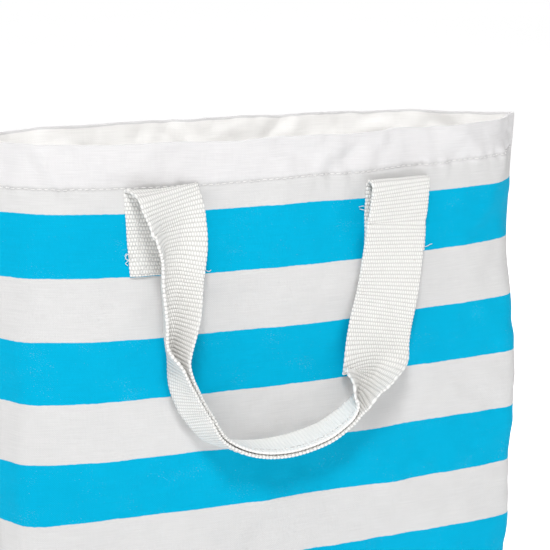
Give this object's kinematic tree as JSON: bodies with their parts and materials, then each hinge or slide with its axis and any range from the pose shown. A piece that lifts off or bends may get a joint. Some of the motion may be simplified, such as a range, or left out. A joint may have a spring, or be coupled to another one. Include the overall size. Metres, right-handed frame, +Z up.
{
  "type": "canvas tote bag",
  "caption": "Open-topped striped canvas tote bag with a flat base, taped side seams and two webbing handles that hang or swing up.",
  "frame": {"origin": "middle of the base's underside", "axes": "+X to the right seen from the front, -Y out of the front panel, +Z up out of the mouth"},
  "size_m": [0.332, 0.1244, 0.385],
  "materials": {
    "canvas": "plain-woven cotton, printed with horizontal blue stripes",
    "webbing": "ribbed off-white cotton webbing",
    "seam_tape": "plain cotton tape",
    "thread": "white twisted sewing thread"
  },
  "bodies": {
    "bag": {"front_panel": "canvas", "back_panel": "canvas", "base_panel": "canvas", "left_seam_tape": "seam_tape", "right_seam_tape": "seam_tape", "base_seam_tape": "seam_tape", "hem_stitching": "thread", "left_seam_stitching": "thread", "right_seam_stitching": "thread", "base_seam_stitching": "thread", "front_left_tab": "webbing", "front_right_tab": "webbing", "back_left_tab": "webbing", "back_right_tab": "webbing", "front_left_tab_stitching": "thread", "front_right_tab_stitching": "thread", "back_left_tab_stitching": "thread", "back_right_tab_stitching": "thread"},
    "front_handle": {"front_handle_left_leg": "webbing", "front_handle_grip": "webbing", "front_handle_right_leg": "webbing", "front_handle_stitching": "thread"},
    "back_handle": {"back_handle_left_leg": "webbing", "back_handle_grip": "webbing", "back_handle_right_leg": "webbing", "back_handle_stitching": "thread"}
  },
  "joints": [
    {"name": "front_handle_swing", "type": "hinge", "parent": "bag", "child": "front_handle", "pos_m": [0, -0.0431, 0.357], "axis": [-1, 0, 0], "range_deg": [0, 170]},
    {"name": "back_handle_swing", "type": "hinge", "parent": "bag", "child": "back_handle", "pos_m": [0, 0.0431, 0.357], "axis": [1, 0, 0], "range_deg": [0, 170]}
  ]
}
